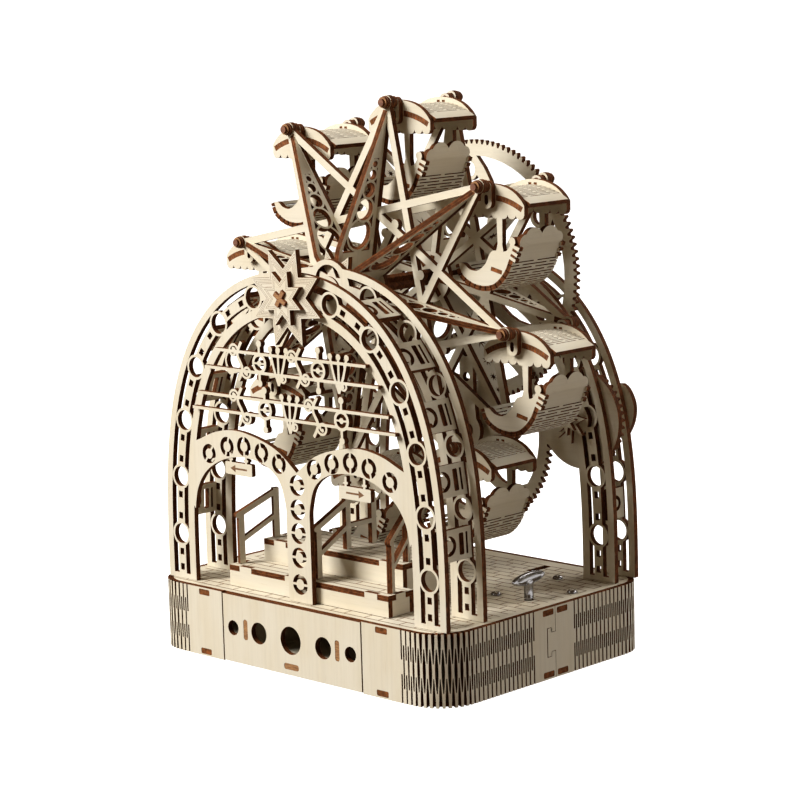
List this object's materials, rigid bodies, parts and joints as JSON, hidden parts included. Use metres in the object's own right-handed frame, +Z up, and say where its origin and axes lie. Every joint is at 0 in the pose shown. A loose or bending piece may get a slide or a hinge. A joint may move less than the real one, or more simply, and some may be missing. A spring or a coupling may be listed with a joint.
{
  "type": "wooden 3d jigsaw model",
  "caption": "Flat-pack plywood Ferris wheel with hanging gondolas, turned by a hand crank through spur gears, on a rounded base with a drawer and a wind-up musical movement.",
  "frame": {"origin": "middle of the base's underside, on the table", "axes": "+Z up; -Y towards the drawer and the gate (the front); +X to the right of someone facing the front, the side with the crank and the winding key"},
  "size_m": [0.2428, 0.1685, 0.3016],
  "materials": {
    "wood": "bare basswood plywood with laser-burnt edges",
    "steel": "bright plated steel",
    "brass": "satin brass"
  },
  "bodies": {
    "base": {"base_bottom_plate": "wood", "deck_plate": "wood", "wall_front_right": "wood", "wall_front_left": "wood", "wall_rear": "wood", "movement_frame": "brass", "movement_screw_1": "steel", "movement_screw_2": "steel", "movement_screw_3": "steel", "front_arch_gate_plate": "wood", "front_arch_back_plate": "wood", "rear_arch_front_plate": "wood", "rear_arch_back_plate": "wood", "front_spacer_right_low": "wood", "front_spacer_right_high": "wood", "front_spacer_left_low": "wood", "front_spacer_left_high": "wood", "rear_spacer_right": "wood", "rear_spacer_left": "wood", "sign_upper_scroll": "wood", "sign_lower_scroll": "wood", "platform_lower_step": "wood", "platform_upper_step": "wood", "railing_left": "wood", "railing_right": "wood", "railing_middle": "wood"},
    "drawer": {"drawer_front": "wood", "drawer_side_right": "wood", "drawer_side_left": "wood", "drawer_floor": "wood", "drawer_back": "wood"},
    "wheel": {"wheel_axle": "wood", "wheel_star_cap": "wood", "wheel_front_frame": "wood", "wheel_rear_frame": "wood", "wheel_gear": "wood"},
    "intermediate_gear": {"middle_gear": "wood"},
    "crank": {"crank_shaft": "wood", "crank_disc": "wood", "crank_gear": "wood", "crank_handle": "wood"},
    "cabin_1": {"cabin_1_car": "wood", "cabin_1_canopy": "wood"},
    "cabin_2": {"cabin_2_car": "wood", "cabin_2_canopy": "wood"},
    "cabin_3": {"cabin_3_car": "wood", "cabin_3_canopy": "wood"},
    "cabin_4": {"cabin_4_car": "wood", "cabin_4_canopy": "wood"},
    "cabin_5": {"cabin_5_car": "wood", "cabin_5_canopy": "wood"},
    "cabin_6": {"cabin_6_car": "wood", "cabin_6_canopy": "wood"},
    "cabin_7": {"cabin_7_car": "wood", "cabin_7_canopy": "wood"},
    "cabin_8": {"cabin_8_car": "wood", "cabin_8_canopy": "wood"},
    "key": {"winding_key": "steel"},
    "drum": {"movement_drum": "brass"},
    "governor": {"movement_governor": "brass"}
  },
  "joints": [
    {"name": "wheel_spin", "type": "hinge", "parent": "base", "child": "wheel", "pos_m": [0, 0, 0.2], "axis": [0, 1, 0], "continuous": true},
    {"name": "middle_gear_spin", "type": "hinge", "parent": "base", "child": "intermediate_gear", "pos_m": [0, 0.0675, 0.11125], "axis": [0, 1, 0], "continuous": true},
    {"name": "crank_spin", "type": "hinge", "parent": "base", "child": "crank", "pos_m": [0.07817, 0.0675, 0.12503], "axis": [0, 1, 0], "continuous": true},
    {"name": "drawer_slide", "type": "slide", "parent": "base", "child": "drawer", "axis": [0, -1, 0], "range_m": [0, 0.06]},
    {"name": "key_wind", "type": "hinge", "parent": "base", "child": "key", "pos_m": [0.0905, 0.005, 0.04], "axis": [0, 0, 1], "continuous": true},
    {"name": "drum_spin", "type": "hinge", "parent": "base", "child": "drum", "pos_m": [0.08425, 0.042, 0.022], "axis": [1, 0, 0], "continuous": true},
    {"name": "governor_spin", "type": "hinge", "parent": "base", "child": "governor", "pos_m": [0.0705, 0.008, 0.02], "axis": [0, 0, 1], "continuous": true},
    {"name": "cabin_1_swing", "type": "hinge", "parent": "wheel", "child": "cabin_1", "pos_m": [-0.05576, 0.009, 0.28205], "axis": [0, 1, 0], "continuous": true},
    {"name": "cabin_2_swing", "type": "hinge", "parent": "wheel", "child": "cabin_2", "pos_m": [0.01859, 0.009, 0.29744], "axis": [0, 1, 0], "continuous": true},
    {"name": "cabin_3_swing", "type": "hinge", "parent": "wheel", "child": "cabin_3", "pos_m": [0.08205, 0.009, 0.25575], "axis": [0, 1, 0], "continuous": true},
    {"name": "cabin_4_swing", "type": "hinge", "parent": "wheel", "child": "cabin_4", "pos_m": [0.09745, 0.009, 0.1814], "axis": [0, 1, 0], "continuous": true},
    {"name": "cabin_5_swing", "type": "hinge", "parent": "wheel", "child": "cabin_5", "pos_m": [0.05576, 0.009, 0.11795], "axis": [0, 1, 0], "continuous": true},
    {"name": "cabin_6_swing", "type": "hinge", "parent": "wheel", "child": "cabin_6", "pos_m": [-0.01859, 0.009, 0.10256], "axis": [0, 1, 0], "continuous": true},
    {"name": "cabin_7_swing", "type": "hinge", "parent": "wheel", "child": "cabin_7", "pos_m": [-0.08205, 0.009, 0.14425], "axis": [0, 1, 0], "continuous": true},
    {"name": "cabin_8_swing", "type": "hinge", "parent": "wheel", "child": "cabin_8", "pos_m": [-0.09745, 0.009, 0.2186], "axis": [0, 1, 0], "continuous": true}
  ],
  "couplings": [
    {"joint": "middle_gear_spin", "follows": "wheel_spin", "ratio": -4.0714},
    {"joint": "crank_spin", "follows": "wheel_spin", "ratio": 8.5401},
    {"joint": "cabin_1_swing", "follows": "wheel_spin", "ratio": -1},
    {"joint": "cabin_2_swing", "follows": "wheel_spin", "ratio": -1},
    {"joint": "cabin_3_swing", "follows": "wheel_spin", "ratio": -1},
    {"joint": "cabin_4_swing", "follows": "wheel_spin", "ratio": -1},
    {"joint": "cabin_5_swing", "follows": "wheel_spin", "ratio": -1},
    {"joint": "cabin_6_swing", "follows": "wheel_spin", "ratio": -1},
    {"joint": "cabin_7_swing", "follows": "wheel_spin", "ratio": -1},
    {"joint": "cabin_8_swing", "follows": "wheel_spin", "ratio": -1},
    {"joint": "governor_spin", "follows": "drum_spin", "ratio": 6}
  ]
}
